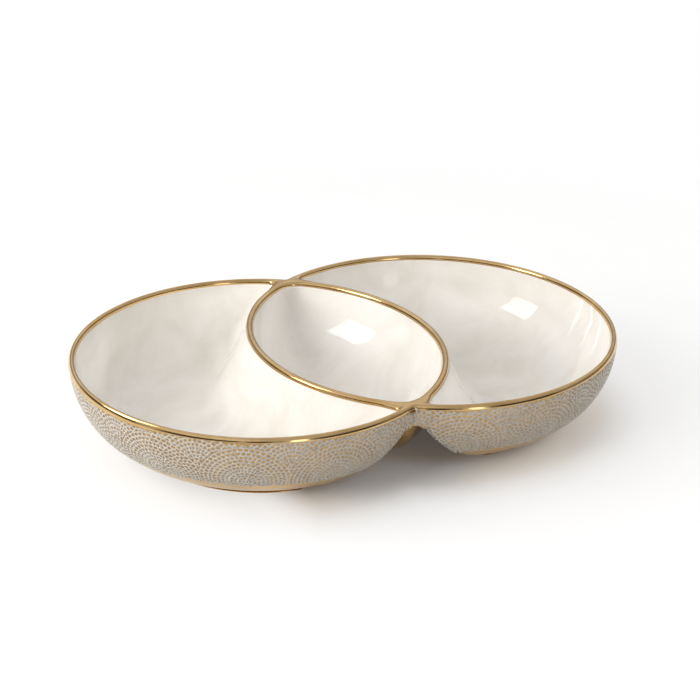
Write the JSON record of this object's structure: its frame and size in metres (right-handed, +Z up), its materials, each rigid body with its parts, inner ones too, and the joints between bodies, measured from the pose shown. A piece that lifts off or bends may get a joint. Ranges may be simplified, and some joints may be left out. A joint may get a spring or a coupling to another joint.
{
  "type": "divided serving bowl",
  "caption": "Low glazed serving bowl made of two overlapping oval bowls, with an almond-shaped dip dish where they cross, gold lips and a raised net of dots outside.",
  "frame": {"origin": "on the table, under the middle of the part", "axes": "+X along the length, from the left bowl to the right bowl; +Y across the width; +Z up from the table"},
  "size_m": [0.38, 0.2687, 0.0625],
  "materials": {
    "ivory_glaze": "gloss ivory glaze",
    "gold_lustre": "fired gold lustre over glaze, polished",
    "net_enamel": "raised pale enamel net with gold lustre in its cells"
  },
  "bodies": {
    "root": {"left_bowl": "ivory_glaze", "right_bowl": "ivory_glaze", "centre_dish": "ivory_glaze", "dish_underside": "gold_lustre", "left_rim": "gold_lustre", "right_rim": "gold_lustre", "left_divider": "gold_lustre", "right_divider": "gold_lustre", "front_web": "gold_lustre", "back_web": "gold_lustre", "left_band": "net_enamel", "right_band": "net_enamel", "left_skirt": "gold_lustre", "right_skirt": "gold_lustre", "left_fold": "gold_lustre", "right_fold": "gold_lustre", "left_foot": "gold_lustre", "right_foot": "gold_lustre"}
  },
  "joints": []
}
